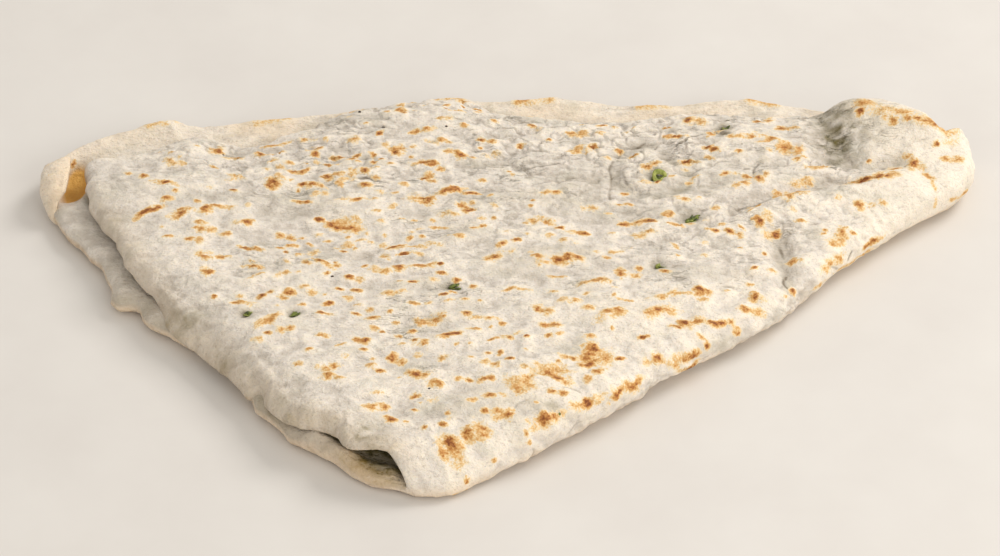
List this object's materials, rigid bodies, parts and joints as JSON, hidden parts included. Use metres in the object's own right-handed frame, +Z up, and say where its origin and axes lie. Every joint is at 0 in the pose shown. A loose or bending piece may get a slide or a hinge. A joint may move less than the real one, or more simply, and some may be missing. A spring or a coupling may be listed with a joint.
{
  "type": "qutab",
  "caption": "Large thin herb-filled flatbread folded twice into a flat wedge, with a round front fold, stacked leaf edges at the left and a sealed rim behind.",
  "frame": {"origin": "centre of the part's bounding box in plan, at the flat underside it lies on", "axes": "+X along the wedge towards its blunt right end, +Y towards the sealed rear rim, +Z up"},
  "size_m": [0.3022, 0.1909, 0.0207],
  "materials": {
    "baked_dough": "matt floury baked dough with small brown griddle spots",
    "herb_filling": "dull dark green cooked herbs"
  },
  "bodies": {
    "root": {"bread": "baked_dough", "greens": "herb_filling"}
  },
  "joints": []
}
